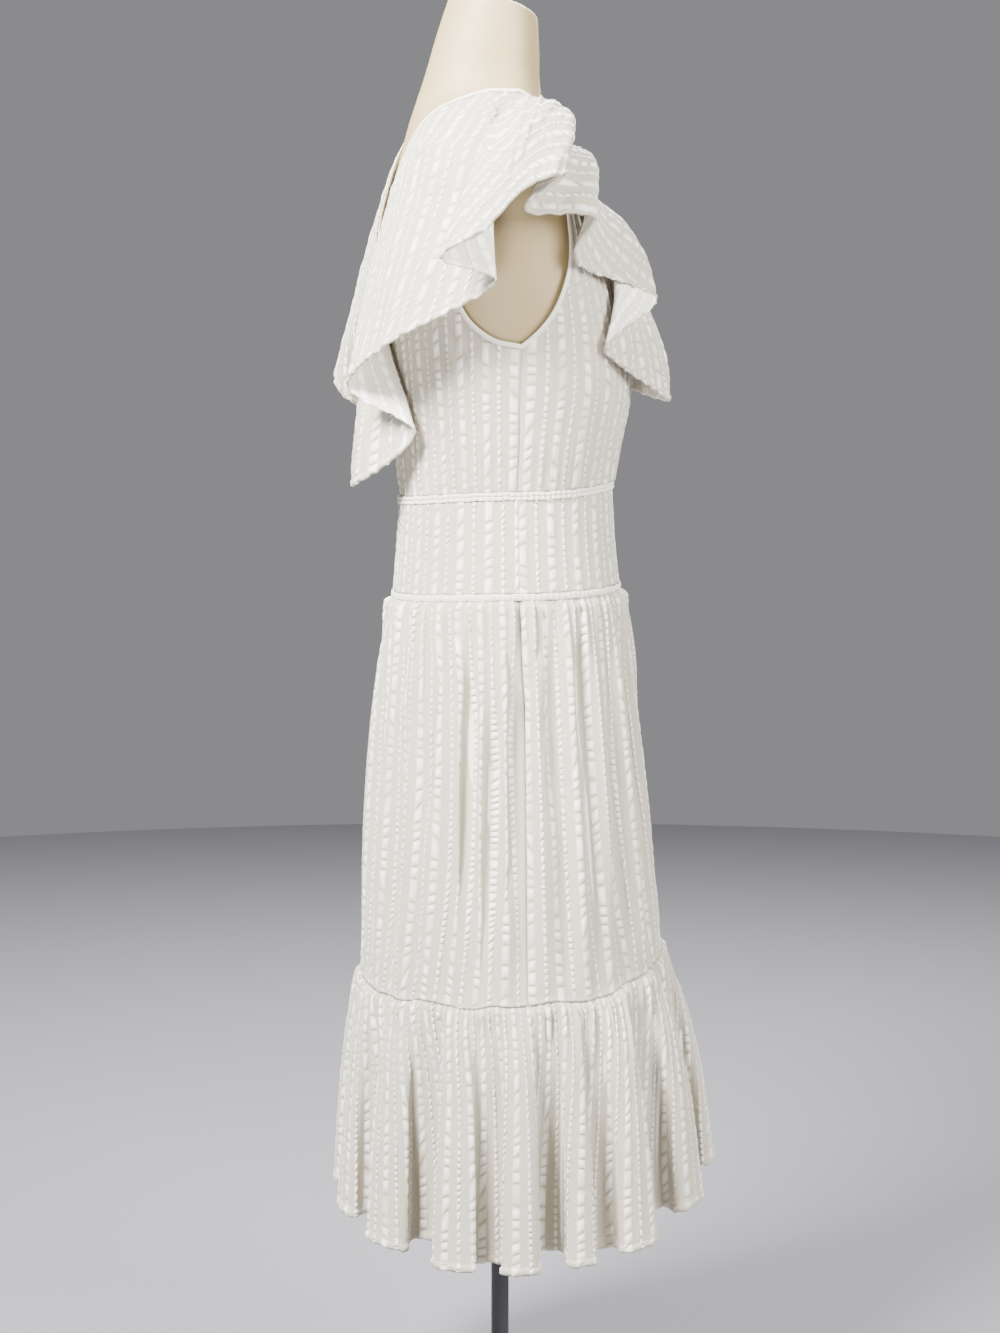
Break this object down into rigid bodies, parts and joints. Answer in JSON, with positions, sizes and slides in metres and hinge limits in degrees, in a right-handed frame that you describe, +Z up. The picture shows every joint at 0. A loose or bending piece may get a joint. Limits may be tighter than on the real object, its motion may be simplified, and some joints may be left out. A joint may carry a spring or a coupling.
{
  "type": "cotton midi dress on a dress form with a stand",
  "caption": "Sleeveless cotton midi dress with a V neck framed by a wide flounce, a fitted waist band, a gathered skirt and a flared tier, on a limbless dress form with a round-based stand.",
  "frame": {"origin": "on the floor under the middle of the stand's base", "axes": "+Z up along the pole, the dress's front faces -Y and its wearer's left is +X"},
  "size_m": [0.5047, 0.4024, 1.5338],
  "materials": {
    "cotton": "puckered white seersucker stripes",
    "form_shell": "matte cream",
    "stand_metal": "dark grey powder coat"
  },
  "bodies": {
    "root": {"bodice_front": "cotton", "bodice_back": "cotton", "armhole_binding_right": "cotton", "armhole_binding_left": "cotton", "neck_binding": "cotton", "flounce_back": "cotton", "flounce_front": "cotton", "waist_piping_upper": "cotton", "waist_piping_lower": "cotton", "band_front": "cotton", "band_back": "cotton", "band_foot_strip": "cotton", "skirt_front": "cotton", "skirt_back": "cotton", "tier_front": "cotton", "tier_back": "cotton", "form_torso": "form_shell", "stand_collar": "stand_metal", "stand_pole": "stand_metal", "stand_hub": "stand_metal", "stand_base": "stand_metal"}
  },
  "joints": []
}
